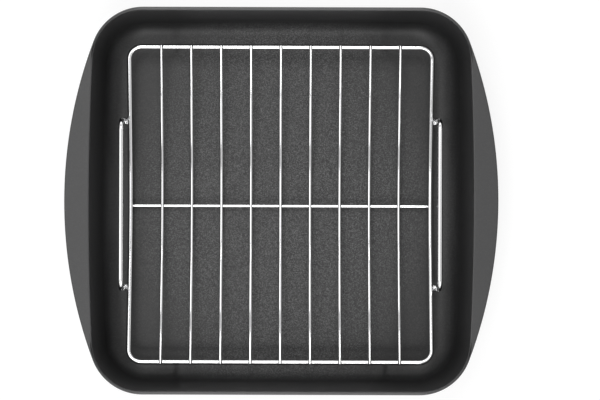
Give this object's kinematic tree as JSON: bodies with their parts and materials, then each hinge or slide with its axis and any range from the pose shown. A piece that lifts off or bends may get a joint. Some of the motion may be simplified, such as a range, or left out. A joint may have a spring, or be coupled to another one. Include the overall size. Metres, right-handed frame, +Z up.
{
  "type": "roasting pan with rack",
  "caption": "Deep cast roasting pan with bowed side flanges as grips, holding a lift-out V-shaped wire rack with swinging wire handles.",
  "frame": {"origin": "centre of the pan's underside, where its overall box meets the surface that it stands on", "axes": "+X across the two side flanges, to the right as in the picture; +Y from the front rim to the back rim; +Z up"},
  "size_m": [0.3902, 0.3486, 0.072],
  "materials": {
    "pan_coating": "cast aluminium under a dark grey-black non-stick coating, satin, with a fine speckle on the floor",
    "bright_wire": "polished chrome-plated steel wire with small weld beads"
  },
  "bodies": {
    "pan": {"roasting_pan": "pan_coating"},
    "rack": {"rack_frame": "bright_wire", "rack_wire_1": "bright_wire", "rack_wire_2": "bright_wire", "rack_wire_3": "bright_wire", "rack_wire_4": "bright_wire", "rack_wire_5": "bright_wire", "rack_wire_6": "bright_wire", "rack_wire_7": "bright_wire", "rack_wire_8": "bright_wire", "rack_wire_9": "bright_wire", "rack_cross_wire": "bright_wire", "left_back_eye": "bright_wire", "left_front_eye": "bright_wire", "right_back_eye": "bright_wire", "right_front_eye": "bright_wire", "back_foot_rail": "bright_wire", "front_foot_rail": "bright_wire"},
    "left_bail": {"left_handle": "bright_wire"},
    "right_bail": {"right_handle": "bright_wire"}
  },
  "joints": [
    {"name": "rack_lift", "type": "slide", "parent": "pan", "child": "rack", "axis": [0, 0, 1], "range_m": [0, 0.12]},
    {"name": "left_handle_swing", "type": "hinge", "parent": "rack", "child": "left_bail", "pos_m": [-0.14495, -0.0034, 0.01934], "axis": [0, -1, 0], "range_deg": [-20, 29]},
    {"name": "right_handle_swing", "type": "hinge", "parent": "rack", "child": "right_bail", "pos_m": [0.14345, -0.0034, 0.01934], "axis": [0, 1, 0], "range_deg": [-20, 31]}
  ]
}
